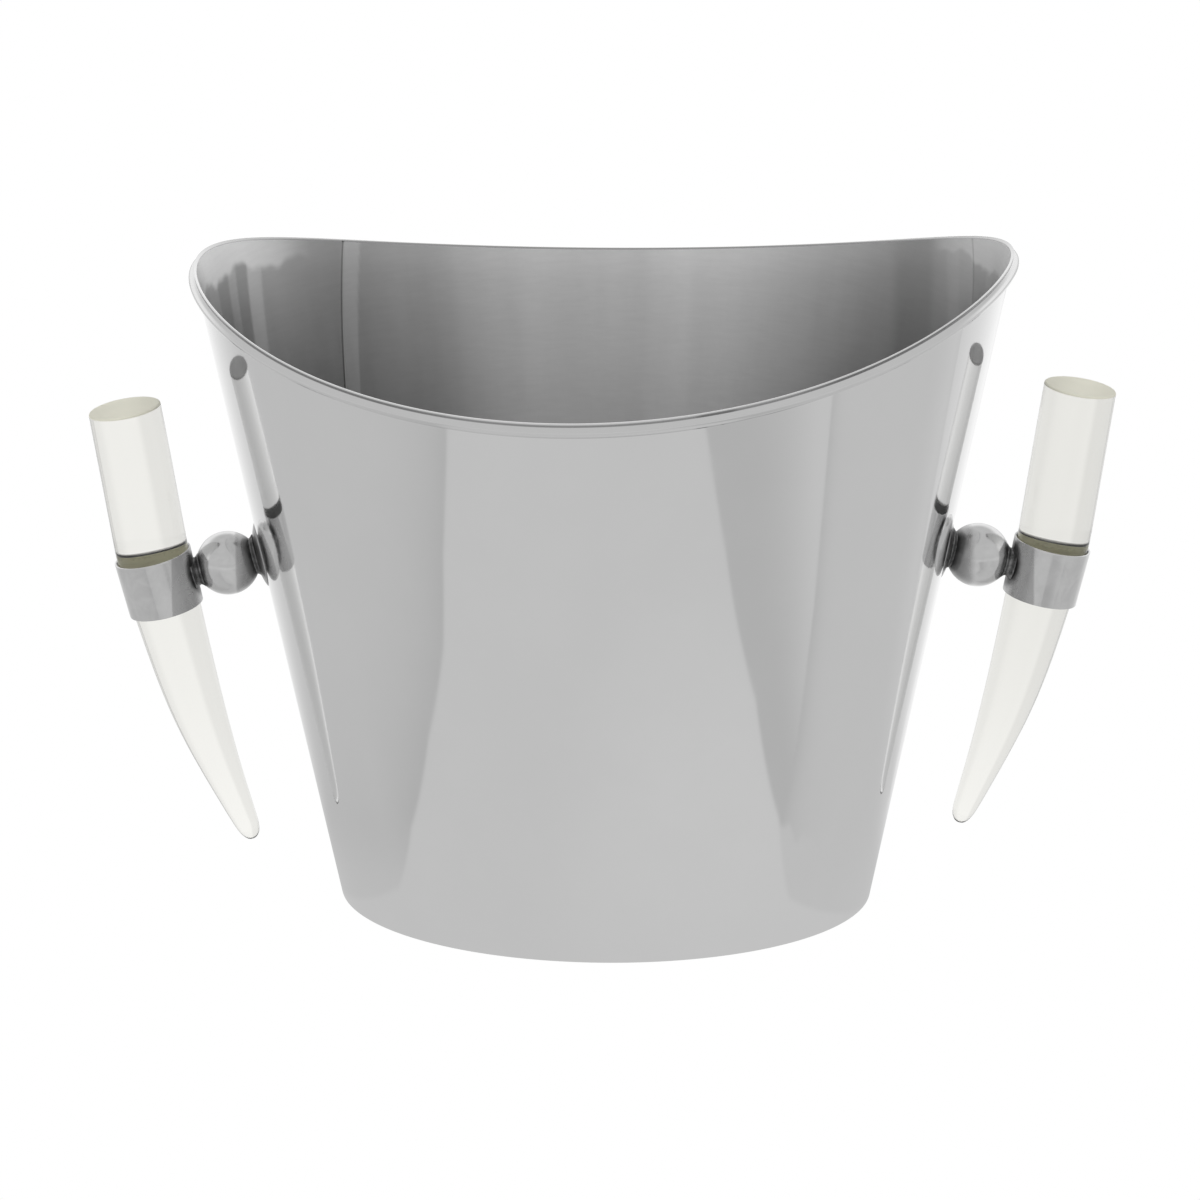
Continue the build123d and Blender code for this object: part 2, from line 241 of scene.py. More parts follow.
# ------------------------------------------------------------------ shader nodes
class Net:
    """Node tree of a material or world. Values may be numbers, tuples or sockets."""

    def __init__(self, owner, output_kind="ShaderNodeOutputMaterial"):
        owner.use_nodes = True
        self.owner = owner
        self.tree = owner.node_tree
        self.tree.nodes.clear()
        self.output = self.node(output_kind)

    def put(self, socket, value):
        if isinstance(value, bpy.types.NodeSocket):
            self.tree.links.new(value, socket)
        else:
            socket.default_value = value

    def node(self, kind, inputs=None, **settings):
        node = self.tree.nodes.new(kind)
        for key, value in settings.items():
            setattr(node, key, value)
        for key, value in (inputs or {}).items():
            self.put(node.inputs[key], value)
        return node

    def math(self, operation, first, second=0.0):
        inputs = {0: first, 1: second, 2: 0.0}
        return self.node("ShaderNodeMath", inputs, operation=operation).outputs[0]

    def add(self, first, second):
        return self.math("ADD", first, second)

    def sub(self, first, second):
        return self.math("SUBTRACT", first, second)

    def mul(self, value, by):
        return self.math("MULTIPLY", value, by)

    def swing(self, noise, by):
        """Noise centred on zero and scaled."""
        return self.mul(self.sub(noise, 0.5), by)

    def fade(self, value, to, over=(0.3, 0.7)):
        """Smooth change between the two "to" values while value crosses "over"."""
        inputs = {
            "Value": value, "From Min": over[0], "From Max": over[1],
            "To Min": to[0], "To Max": to[1],
        }
        node = self.node("ShaderNodeMapRange", inputs, interpolation_type="SMOOTHSTEP")
        return node.outputs["Result"]

    def noise(self, vector, scale, detail=4.0, rough=0.55, distortion=0.0):
        inputs = {
            "Vector": vector, "Scale": scale, "Detail": detail,
            "Roughness": rough, "Distortion": distortion,
        }
        return self.node("ShaderNodeTexNoise", inputs).outputs["Fac"]

    def vector(self, operation, first, second):
        return self.node("ShaderNodeVectorMath", {0: first, 1: second}, operation=operation)

    def stretch(self, vector, by):
        return self.vector("MULTIPLY", vector, by).outputs[0]

    def mix(self, share, first, second, **settings):
        inputs = {"Factor": share, 6: first, 7: second}
        return self.node("ShaderNodeMix", inputs, data_type="RGBA", **settings).outputs[2]

    def grey(self, value):
        return self.node("ShaderNodeCombineColor", {i: value for i in range(3)}).outputs[0]

    def position(self):
        return self.node("ShaderNodeNewGeometry").outputs["Position"]

    def split(self, vector):
        return self.node("ShaderNodeSeparateXYZ", {0: vector}).outputs

    def tone_colour(self):
        return self.node("ShaderNodeVertexColor", layer_name="tone").outputs["Color"]

    def tone(self):
        return self.node("ShaderNodeSeparateColor", {0: self.tone_colour()}).outputs[0]

    def relief(self, strength, *layers):
        """Bump normal from layers of (noise, height in metres)."""
        heights = [self.mul(noise, by=height) for noise, height in layers]
        total = heights.pop()
        while heights:
            total = self.add(heights.pop(), total)
        inputs = {"Strength": strength, "Distance": 1.0, "Height": total}
        return self.node("ShaderNodeBump", inputs).outputs["Normal"]

    def absorb(self, density):
        inputs = {"Color": (0.58, 0.58, 0.56, 1), "Density": density}
        node = self.node("ShaderNodeVolumeAbsorption", inputs)
        self.put(self.output.inputs["Volume"], node.outputs[0])

    def surface(self, kind, **inputs):
        """Link a shader to the surface and return the finished material."""
        node = self.node(kind, {key.replace("_", " "): v for key, v in inputs.items()})
        self.put(self.output.inputs["Surface"], node.outputs[0])
        return self.owner

    def principled(self, **inputs):
        return self.surface("ShaderNodeBsdfPrincipled", **inputs)


def material_net(name):
    return Net(bpy.data.materials.new(name))


# ------------------------------------------------------------------ silver sheet
def polished_sheet(name, base, rough, outer_wall=False, cut_edge_front_highlight=False):
    """Mirror-polished sheet: faint buffing, tiny pits and slow waviness; painted shade on the
    outer wall and a painted highlight on the cut edge.
    """
    net = material_net(name)
    position = net.position()
    waves = net.noise(position, scale=9.0, detail=1.0, rough=0.4)
    fine = net.noise(position, scale=240.0, detail=5.0, rough=0.6)
    hair = net.noise(net.stretch(position, (60, 60, 900)), scale=1.0, detail=3.0, rough=0.6)
    cloud = net.noise(position, scale=26.0, detail=3.0)
    rough = net.fade(cloud, over=(0.35, 0.75), to=(rough, rough + 0.03))
    rough = net.add(rough, net.mul(fine, by=0.02))
    tone = net.fade(cloud, over=(0.3, 0.75), to=(base, base + 0.014))
    tone = net.add(tone, net.swing(fine, by=0.010))
    if outer_wall:
        # the mesh tone holds painted shade by the rim bead; painted shade also darkens a duller
        # ring round each rosette
        tone = net.mul(tone, net.tone())
        ring = 0.0
        for side in (1, -1):
            mount = [float(x) * MM for x in place(MOUNT, side)]
            away = net.vector("DISTANCE", position, mount).outputs["Value"]
            away = net.add(away, net.swing(fine, by=0.0016))
            span = ((ROSETTE_R + 0.5) * MM, (ROSETTE_R + 2.0) * MM)
            ring = net.add(ring, net.fade(away, over=span, to=(1.0, 0.0)))
        tone = net.mul(tone, net.sub(1.0, net.mul(ring, by=0.62)))
        rough = net.add(rough, net.mul(ring, by=0.30))
    if cut_edge_front_highlight:
        # painted highlight along the front of the cut edge, fading to painted shade away from the
        # front, by distance along y in metres
        front_y = -0.134
        away = net.math("ABSOLUTE", net.sub(net.split(position)[1], front_y))
        tone = net.mul(tone, net.fade(away, over=(0.10, 0.20), to=(1.0, 0.52)))
    normal = net.relief(1.0, (waves, 0.00042), (hair, 0.0000012), (fine, 0.0000010))
    inputs = dict(Metallic=1.0, Roughness=rough, Base_Color=net.grey(tone), Normal=normal)
    if outer_wall:
        # the painted shade ring also dims the tint of the reflections
        inputs["Specular_Tint"] = net.grey(net.sub(1.0, net.mul(ring, by=0.7)))
    return net.principled(**inputs)


def brushed_sheet(name, painted):
    """Fine brushing round the drum with soft buffed bands; painted ones use the mesh tone, which
    holds painted reflections and shade.
    """
    net = material_net(name)
    x, y, z = net.split(net.position())
    angle = net.math("DIVIDE", net.math("ARCTAN2", y, x), math.pi)  # -1..1 from the right end

    def wrapped_noise(per_half_turn, per_metre_up):
        inputs = {0: net.mul(angle, by=per_half_turn), 2: net.mul(z, by=per_metre_up)}
        vector = net.node("ShaderNodeCombineXYZ", inputs).outputs[0]
        return net.noise(vector, scale=1.0, detail=3.0, rough=0.6)

    lines = wrapped_noise(per_half_turn=34.0, per_metre_up=520.0)
    bands = wrapped_noise(per_half_turn=26.0, per_metre_up=9.0)
    rough = net.add(net.fade(bands, to=(0.30, 0.40)), net.mul(lines, by=0.05))
    if painted:
        # painted reflections and shade from the mesh tone, with brushing streaks over them
        tone = net.mul(net.tone(), by=2.28)
        streaks = net.add(net.fade(bands, to=(0.97, 1.03)), net.swing(lines, by=0.14))
        brightest = 0.97
        tone = net.math("MINIMUM", net.mul(tone, streaks), brightest)
    else:
        tone = net.add(net.fade(bands, to=(0.50, 0.60)), net.swing(lines, by=0.10))
    tangent = net.node("ShaderNodeTangent", direction_type="RADIAL", axis="Z").outputs[0]
    return net.principled(
        Metallic=1.0, Roughness=rough, Anisotropic=0.6, Anisotropic_Rotation=0.25,
        Tangent=tangent, Base_Color=net.grey(tone), Normal=net.relief(0.9, (lines, 0.000012)),
    )


# ------------------------------------------------------------------ fitting metals
def polished_part(name, base, rough, shade_spots):
    """Polished fitting with fine scratches and soft tarnish, and spots of painted shade.

    Each spot of painted shade darkens to "low" at the start of its span, in mm from the point
    "at":
    all round it, or measured against the direction "against" where that is given.
    """
    net = material_net(name)
    position = net.position()
    cloud = net.noise(position, scale=110.0, detail=3.0, rough=0.6, distortion=0.6)
    fine = net.noise(position, scale=900.0, rough=0.6)
    tone = net.fade(cloud, over=(0.3, 0.75), to=(base - 0.05, base + 0.03))
    tone = net.add(tone, net.swing(fine, by=0.03))
    rough = net.add(net.fade(cloud, to=(rough, rough + 0.10)), net.mul(fine, by=0.03))
    shade = None
    # painted shade from each spot, multiplied together
    for spot in shade_spots:
        centre = [float(x) * MM for x in spot["at"]]
        if "against" in spot:
            offset = net.vector("SUBTRACT", position, centre).outputs[0]
            way = [float(x) for x in spot["against"]]
            away = net.vector("DOT_PRODUCT", offset, way).outputs["Value"]
            away = net.mul(net.add(away, net.swing(cloud, by=0.0012)), by=-1.0)
        else:
            away = net.vector("DISTANCE", position, centre).outputs["Value"]
            away = net.add(away, net.swing(cloud, by=0.006))
        span = [x * MM for x in spot["span"]]
        dark = net.fade(away, over=span, to=(spot["low"], 1.0))
        shade = net.mul(shade, dark) if shade else dark
    tone = net.mul(tone, shade)
    rough = net.add(rough, net.mul(net.sub(1.0, shade), by=0.35))
    normal = net.relief(0.7, (fine, 0.000004))
    return net.principled(
        Metallic=1.0, Roughness=rough, Base_Color=net.grey(tone), Normal=normal
    )


def braze():
    net = material_net("darkened_braze")
    position = net.position()
    cloud = net.noise(position, scale=320.0, rough=0.6)
    fine = net.noise(position, scale=1600.0, detail=3.0, rough=0.6)
    tone = net.fade(cloud, to=(0.11, 0.36))
    rough = net.fade(cloud, to=(0.62, 0.44))
    normal = net.relief(0.8, (cloud, 0.00009), (fine, 0.00001))
    return net.principled(
        Metallic=1.0, Roughness=rough, Base_Color=net.grey(tone), Normal=normal
    )


def fixing_steel():
    net = material_net("fixing_steel")
    position = net.position()
    stretched = net.stretch(position, (1800, 120, 120))
    lines = net.noise(stretched, scale=1.0, detail=3.0, rough=0.6)
    cloud = net.noise(position, scale=200.0, detail=3.0, rough=0.6)
    return net.principled(
        Metallic=1.0, Roughness=net.fade(cloud, to=(0.16, 0.30)), Anisotropic=0.4,
        Base_Color=net.grey(net.fade(lines, to=(0.60, 0.72))),
        Normal=net.relief(0.8, (lines, 0.000008)),
    )


# ------------------------------------------------------------------ resin, glue and rubber
def metal_sees(net, direct, grey):
    """Colour for direct view; a neutral grey when met in a metal reflection."""
    depth = net.node("ShaderNodeLightPath").outputs["Glossy Depth"]
    reflected = net.math("GREATER_THAN", depth, 0.5)
    return net.mix(reflected, direct, (grey, grey, grey, 1))


def clear_resin(name, density):
    """Clear cast resin with a trace of warm tint and faint flow lines."""
    net = material_net(name)
    position = net.position()
    stretched = net.stretch(position, (60, 60, 14))
    cloud = net.noise(stretched, scale=1.0, detail=2.0, rough=0.5, distortion=0.4)
    fine = net.noise(position, scale=420.0, rough=0.6)
    rough = net.fade(fine, over=(0.35, 0.75), to=(0.0, 0.015))
    normal = net.relief(0.6, (cloud, 0.00006), (fine, 0.000002))
    net.absorb(density)
    return net.principled(
        Roughness=rough, IOR=1.49, Transmission_Weight=1.0,
        Base_Color=metal_sees(net, direct=(0.992, 0.986, 0.950, 1), grey=0.97), Normal=normal,
    )


def cut_resin():
    """Top end of the horn: a fine matt haze over the same resin."""
    net = material_net("clear_resin_cut_end")
    position = net.position()
    cloud = net.noise(position, scale=90.0, detail=3.0, rough=0.6)
    fine = net.noise(position, scale=700.0, rough=0.6)
    rough = net.fade(cloud, to=(0.50, 0.62))
    share = net.fade(cloud, to=(0.0, 1.0))
    haze = net.mix(share, (0.96, 0.945, 0.79, 1), (1.0, 0.98, 0.83, 1))
    net.absorb(density=7.0)
    return net.principled(
        Roughness=rough, IOR=1.49, Transmission_Weight=0.37,
        Base_Color=metal_sees(net, direct=haze, grey=0.40),
        Normal=net.relief(0.8, (fine, 0.00001)),
    )


def clear_adhesive():
    net = material_net("clear_adhesive")
    cloud = net.noise(net.position(), scale=500.0, detail=3.0, rough=0.6)
    rough = net.fade(cloud, to=(0.25, 0.45))
    colour = net.mix(cloud, (0.72, 0.70, 0.52, 1), (0.90, 0.88, 0.66, 1))
    return net.principled(
        Roughness=rough, IOR=1.5, Base_Color=metal_sees(net, direct=colour, grey=0.24),
        Normal=net.relief(0.6, (cloud, 0.00005)),
    )


def gasket_rubber():
    net = material_net("gasket_rubber")
    position = net.position()
    fine = net.noise(position, scale=1500.0, rough=0.6)
    cloud = net.noise(position, scale=300.0, detail=2.0, rough=0.5)
    return net.principled(
        Roughness=net.fade(cloud, to=(0.55, 0.8)),
        Base_Color=net.grey(net.fade(cloud, to=(0.025, 0.05))),
        Normal=net.relief(0.7, (fine, 0.00002)),
    )


MATERIALS = {
    "wall": polished_sheet("mirror_silver", base=0.868, rough=0.045, outer_wall=True),
    "bead": polished_sheet("rim_bead_silver", base=0.80, rough=0.13),
    "edge": polished_sheet("cut_edge_silver", base=0.88, rough=0.14, cut_edge_front_highlight=True),
    "inside": brushed_sheet("satin_silver_inside", painted=True),
    "floor": brushed_sheet("satin_silver_floor", painted=False),
    "cut_resin": cut_resin(),
    "braze": braze(),
    # painted shade: the right horn's copy of the resin absorbs more, so it reads darker than the
    # left
    "left_resin": clear_resin("clear_resin_left", density=9.0),
    "right_resin": clear_resin("clear_resin_right", density=14.0),
    "adhesive": clear_adhesive(),
    "steel": fixing_steel(),
    "rubber": gasket_rubber(),
}

# ------------------------------------------------------------------ drum wall
# The inside tone is painted reflections and shade, built as a grey level, 0..255, over angle
# (degrees) and depth (mm).
# Band columns: gain, centre angle, half width, fade, drift of the centre per mm of depth.
BROAD_REFLECTION_BANDS = [
    (40, 93, 14, 34, 0), (-12, 28, 14, 18, 0), (18, 62, 10, 18, 0),
    (8, 84, 2.2, 3.0, 0), (-6, 121.8, 1.6, 3.0, 0), (5, 133, 4, 3, 0),
]
LEFT_END_REFLECTION_STREAKS = [
    (24, 157.8, 1.7, 0.8, 0), (-16, 161.8, 1.5, 0.7, 0),
    (6, 165.4, 1.2, 0.8, 0), (-18, 169.3, 2.1, 1.0, 0),
]
SLANTED_REFLECTION_BANDS = [
    (-10, 41, 3.0, 3.0, -0.1), (-8, 23.0, 2.2, 1.0, -0.2), (6, 31.5, 1.2, 1.2, -0.15),
]
# painted shade: darker deeper below the rim
DEPTH_SHADE_STEPS = [(-11, 10, 36), (-12, 30, 70), (-22, 70, 200)]  # gain, start and end depth
BAND_LEVEL = 118
LEFT_SEAM_LINE, RIGHT_SEAM_LINE = (0.10, 0.13), (0.12, 0.2)  # half width, fade in degrees

# depths below the rim of the rows behind and above the bead
BEAD_ROWS = (
    6.6, 6.3, 6.15, 6.0, 5.85, 5.7, 5.55, 5.4, 5.2, 4.6,
    3.2, 2.0, 1.5, 1.25, 1.1, 0.95, 0.8, 0.6, 0.45,
)
LIP_ROWS = 7  # rows on each of the two rounded corners of the lip
EVEN_DEPTH = 72  # inside rows follow the rim down to here, then ease to the flat bottom


def seam_left(depth):
    """Angle of the lap seam inside the left end, at a depth below the rim."""
    return 137.6 + 9.0 * (1 - np.exp(-depth / 95))


def seam_right(depth):
    return 25.7 - 14.0 * (1 - np.exp(-depth / 60))


def wall_columns():
    """Angles round the oval, closer together where the two seams run inside."""
    even = np.linspace(0, 360, 720, endpoint=False)
    close = np.concatenate([np.arange(137.6, 146.3, 0.09), np.arange(11.5, 26.3, 0.11)])
    step = np.array([0.16, 0.36, 0.62])  # widening gaps at the ends of the close runs
    step = np.concatenate([137.6 - step, 146.25 + step, 11.5 - step, 26.25 + step])
    close = np.concatenate([close, step, 360 - close, 360 - step])
    keep = np.abs(even[:, None] - close[None, :]).min(1) > 0.2
    return np.radians(np.unique(np.concatenate([even[keep], close]).round(5)))


def bands(angle, table, depth=0.0):
    return sum(
        gain * patch(angle, centre + drift * depth, half, fade)
        for gain, centre, half, fade, drift in table
    )


def inside_grey(angle, depth):
    """Painted reflections and shade on the buffed inside; the front half mirrors the back, with
    less detail.
    """
    in_front = angle > 180
    far = np.where(in_front, 1 - ease(np.minimum(angle - 180, 360 - angle), 0, 12), 1.0)
    back = np.where(in_front, 0.0, 1.0)
    angle = np.where(in_front, 360 - angle, angle)
    seam = seam_left(depth)
    # broad painted reflection bands
    level = BAND_LEVEL + bands(angle, BROAD_REFLECTION_BANDS)
    # painted reflection: lighter strip beside the left seam, painted shade beyond it
    beyond = ease(angle - seam, 0, 0.5) * (1 - ease(angle, 150, 180))
    level = level + back * (27 * patch(angle, seam - 1.75, 1.2, 0.55) - 5 * beyond)
    # painted light patch at the left end, painted shade low at the right end
    level = level + 8 * patch(angle, 148.5, 4.0, 6.0) * back
    level = level - 10 * patch(angle, 10, 7, 5) * ease(depth, 12, 30) * back
    # painted reflection streaks at the tight left end lean with depth and die out low down
    lean = 6.5 * (1 - np.exp(-depth / 50))
    top = 1 - 0.75 * ease(depth, 55, 130)
    level = level + top * far * bands(angle - lean, LEFT_END_REFLECTION_STREAKS)
    # painted reflection bands that slant with depth
    level = level + bands(angle, SLANTED_REFLECTION_BANDS, depth)
    # painted shade: deeper is darker; painted light: the strip under the rim is lighter
    level = level + sum(gain * ease(depth, start, end) for gain, start, end in DEPTH_SHADE_STEPS)
    level = level + 15 * (1 - ease(depth, 1, 16))
    # painted reflections: ragged light patches under the rim at both ends
    rag = 1.8 * np.sin(angle * 0.37 + 0.6) + 0.8 * np.sin(angle * 0.83 + 1.0)
    rag = rag + 0.45 * np.sin(angle * 1.7)
    left_depth = depth - rag - 0.16 * (angle - 152)
    left = far * ease(angle, 143, 152) * (1 - ease(left_depth, 7.8, 11.2))
    right_depth = depth - rag * 0.8 - 7.5 - 0.45 * (24.0 - angle)
    right = far * (1 - ease(angle, 33.0, 37.0)) * (1 - ease(right_depth, 0.2, 2.2))
    level = blend(level, 172 + 10 * ease(angle, 165, 180), left)
    level = blend(level, 140 + 14 * (1 - ease(angle, 4, 16)), right * 0.9)
    # the seams themselves, as dark lines of painted shade
    lines = 46 * patch(angle, seam, *LEFT_SEAM_LINE)
    lines = lines + 22 * patch(angle, seam_right(depth), *RIGHT_SEAM_LINE)
    return level - back * lines


def inside_tone(angle, depth):
    """The grey level made linear, with its contrast softened about a middle tone."""
    middle, contrast = 0.32, 0.62
    level = np.clip(inside_grey(angle, depth), 40, 250)
    linear = ((level / 255 + 0.055) / 1.055) ** 2.4
    return middle * (linear / middle) ** contrast


def build_wall():
    theta = wall_columns()
    cols = len(theta)
    degrees = np.degrees(theta)
    rows, tones = [], []

    def ring(inset, z, tone=np.ones(cols)):
        half_x, half_y = BASE_HALF_X + FLARE * z - inset, BASE_HALF_Y + FLARE * z - inset
        rows.append(np.stack([half_x * np.cos(theta), half_y * np.sin(theta), z], 1))
        tones.append(tone)

    outer_z, inner_z = rim_height(theta), rim_height(theta, SHEET_ACROSS)
    # rounded foot, then up the outside
    for inset, z in ((0.45, 0.0), (0.16, 0.0), (0.04, 0.12)):
        ring(inset, np.full(cols, z))
    for share in np.linspace(0, 1, 104):
        ring(0.0, 0.45 + (outer_z - 7.0 - 0.45) * share)
    # painted shade: dark hairline under the bead, stronger in three short places to the right of
    # the front
    under = 0.14 + 0.10 * ease(degrees, 255, 280) * (1 - ease(degrees, 308, 318))
    under = under + 0.50 * patch(degrees, 288.9, 0.7, 0.3)
    under = under + 0.35 * patch(degrees, 292.1, 0.25, 0.2)
    under = under + 0.50 * ease(degrees, 297.0, 300.5) * (1 - ease(degrees, 305.2, 305.9))
    # painted shade: dark line above the bead, below the lip
    above = 0.40 + 0.22 * patch(degrees, 291, 2.0, 1.5)
    above = above + 0.25 * ease(degrees, 300, 312) * (1 - ease(degrees, 345, 358))
    above = above + 0.15 * patch(degrees, 232, 14, 12)
    for drop in BEAD_ROWS:
        tone = 1 - under * patch(drop, 5.8, 0.16, 0.16) - above * patch(drop, 0.86, 0.25, 0.13)
        ring(0.0, outer_z - drop, tone)
    # over the rounded lip
    turns = [math.radians(90 * k / (LIP_ROWS - 1)) for k in range(LIP_ROWS)]
    for turn in turns:
        z = outer_z - LIP_ROUND + LIP_ROUND * math.sin(turn)
        ring(LIP_ROUND * (1 - math.cos(turn)), z)
    for turn in turns:
        z = inner_z - LIP_ROUND + LIP_ROUND * math.cos(turn)
        ring(SHEET_ACROSS - LIP_ROUND * (1 - math.sin(turn)), z)
    outside_rows = len(rows)
    # down the inside, with the seams standing proud on the back half and the tone holding painted
    # reflections and shade
    depths = np.concatenate([np.arange(0.6, 12, 0.6), np.arange(12, EVEN_DEPTH, 1.5)])
    levels = [inner_z - depth for depth in depths]
    levels += [(inner_z - EVEN_DEPTH) * (1 - t) + 0.3 * t for t in np.linspace(0, 1, 60)]
    on_back = np.where(degrees > 180, -99.0, degrees)
    for z in levels:
        depth = inner_z - z
        ridge = 0.16 * patch(on_back, seam_left(depth), *LEFT_SEAM_LINE)
        ridge = ridge + 0.06 * patch(on_back, seam_right(depth), *RIGHT_SEAM_LINE)
        ring(SHEET_ACROSS - ridge, z, inside_tone(degrees, depth))
    ring(SHEET_ACROSS - 0.1, np.zeros(cols), tones[-1])

    materials = [MATERIALS[key] for key in ("wall", "inside", "edge")]
    faces = grid_faces(len(rows), cols)
    piece = make_mesh("drum_wall", np.concatenate(rows), faces, *materials)
    mesh = piece.data
    indices = np.zeros(len(mesh.polygons), np.int32)
    indices[outside_rows * cols:] = 1
    indices[(outside_rows - 2 * LIP_ROWS) * cols : outside_rows * cols] = 2
    mesh.polygons.foreach_set("material_index", indices)
    paint_tone(mesh, np.concatenate(tones))
    fix_normals(piece)
    hand_over(piece, "body_shell")


# ------------------------------------------------------------------ rim bead
def build_bead():
    """Half-round bead along the outside of the rim."""
    cols = 1080
    theta = np.linspace(0, 2 * math.pi, cols, endpoint=False)
    z = rim_height(theta, drop=BEAD_DROP + BEAD_TALL / 2)
    half_x, half_y = BASE_HALF_X + FLARE * z, BASE_HALF_Y + FLARE * z
    x, y = half_x * np.cos(theta), half_y * np.sin(theta)
    spine = np.stack([x, y, z], 1)
    out_x, out_y = x / half_x**2, y / half_y**2
    length = np.hypot(out_x, out_y)
    normal = np.stack([out_x / length, out_y / length, np.full_like(x, -FLARE)], 1)
    normal /= np.linalg.norm(normal, axis=1)[:, None]
    along = np.roll(spine, -1, 0) - np.roll(spine, 1, 0)
    along /= np.linalg.norm(along, axis=1)[:, None]
    up = np.cross(normal, along)
    up *= np.sign(up[:, 2])[:, None]
    rows = []
    for k in range(25):
        turn = math.radians(-90 + 180 * k / 24)
        out = 0.05 + BEAD_THICK * math.cos(turn) ** 0.9
        rows.append(spine + normal * out + up * (BEAD_TALL / 2 * math.sin(turn)))
    faces = grid_faces(len(rows), cols)
    piece = make_mesh("rim_bead_round", np.concatenate(rows), faces, MATERIALS["bead"])
    fix_normals(piece)
    sharp_by_angle(piece, 60)
    hand_over(piece, "rim_bead")


# ------------------------------------------------------------------ handle fittings
SADDLE_START, SADDLE_END = BALL_R - 2.0, SLEEVE_OUT - SLEEVE_TOP_R + 1.6
# Braze profiles: radius, distance along the stub (from the wall, then from the ball centre).
ROSETTE_BRAZE = [
    (0.0, 1.9), (8.6, 1.9), (8.2, 2.35), (7.75, 2.75), (7.4, 3.2),
    (7.25, 3.7), (7.3, 4.2), (7.5, 4.6), (0.0, 4.6),
]
SLEEVE_BRAZE = [
    (0.0, SADDLE_START), (6.9, SADDLE_START + 0.1), (6.1, SADDLE_START + 0.9),
    (5.6, (SADDLE_START + SADDLE_END) / 2 - 0.2), (5.9, SADDLE_END - 1.3),
    (6.9, SADDLE_END - 0.5), (8.0, SADDLE_END), (0.0, SADDLE_END),
]


def build_ball(side, tag):
    """Full sphere, pole along the stub, with painted shade on the wall side, in a low spot and at
    both joints.
    """
    right = side > 0
    inward = place(-heading(1, 0), side)
    centre = place(BALL, side)
    low_spot = BALL - heading(0.62, -0.55) * BALL_R + ACROSS * (-0.55 * BALL_R)
    neck, saddle = BALL - STUB_WAY * BALL_R, BALL + STUB_WAY * BALL_R
    # painted shade towards the wall, in a low spot, by the rosette neck and by the sleeve saddle
    shaded_silver = polished_part(tag + "ball_silver_painted_shade", base=0.78, rough=0.08, shade_spots=[
        dict(at=centre, span=(-5.0, -1.8) if right else (-3.9, -2.7), low=0.72, against=inward),
        dict(at=centre, span=(-10.0, -2.0), low=0.66, against=inward),
        dict(at=place(low_spot, side), span=(1.5, 5.5), low=0.62 if right else 0.9),
        dict(at=place(neck, side), span=(6.5, 11.5), low=0.26),
        dict(at=place(saddle, side), span=(7.2, 9.8), low=0.24),
    ])
    turns = [math.radians(180 * k / 96) for k in range(1, 96)]
    profile = [(BALL_R * math.sin(turn), BALL_R * math.cos(turn)) for turn in turns]
    profile = [(0.0, BALL_R)] + profile + [(0.0, -BALL_R)]
    piece = revolve(tag + "solid_ball", profile, BALL, STUB_WAY, side, 192, shaded_silver)
    hand_over(piece, tag + "ball")


def build_rosette(side, tag):
    """Thin lens lying flush on the curved wall."""
    joint = place(MOUNT + STUB_WAY * 3.0, side)
    # painted shade: silver set darker than on the ball and sleeve, and darker still round the neck
    shaded_silver = polished_part(tag + "rosette_silver_painted_shade", base=0.50, rough=0.26, shade_spots=[
        dict(at=joint, span=(6.5, 9.5), low=0.40),
    ])
    edge_round, shoulder, sunk = 0.25, 0.42, -0.3
    dome_r = ROSETTE_R - edge_round
    profile = [(0.0, ROSETTE_APEX)]
    for i in range(1, 33):
        radius = dome_r * i / 32
        fall = (1 - (radius / dome_r) ** 2) ** 0.85
        profile.append((radius, shoulder + (ROSETTE_APEX - shoulder) * fall))
    profile += arc(dome_r, shoulder - edge_round, edge_round, range(75, -1, -15))
    profile += [(ROSETTE_R, sunk), (0.0, sunk)]
    piece = revolve(tag + "domed_rosette", profile, MOUNT, WALL_NORMAL, side, 160, shaded_silver)
    # bend it back to follow the oval
    outward, across, base = (place(v, side) for v in (WALL_NORMAL, ACROSS, MOUNT))
    for vertex in piece.data.vertices:
        point = np.array(vertex.co) / MM
        offset = float((point - base) @ across)
        point = point - outward * (offset * offset / (2 * WALL_CURVE_R))
        vertex.co = tuple(point * MM)
    piece.data.update()
    sharp_by_angle(piece, 50)
    hand_over(piece, tag + "rosette")


def build_brazes(side, tag):
    """Waisted fillets from rosette to ball and from ball to sleeve."""
    for label, node, profile, origin in (
        ("rosette_braze", "rosette_neck", ROSETTE_BRAZE, MOUNT),
        ("sleeve_braze", "collar_saddle", SLEEVE_BRAZE, BALL),
    ):
        piece = revolve(tag + label, profile, origin, STUB_WAY, side, 96, MATERIALS["braze"])
        hand_over(piece, tag + node)


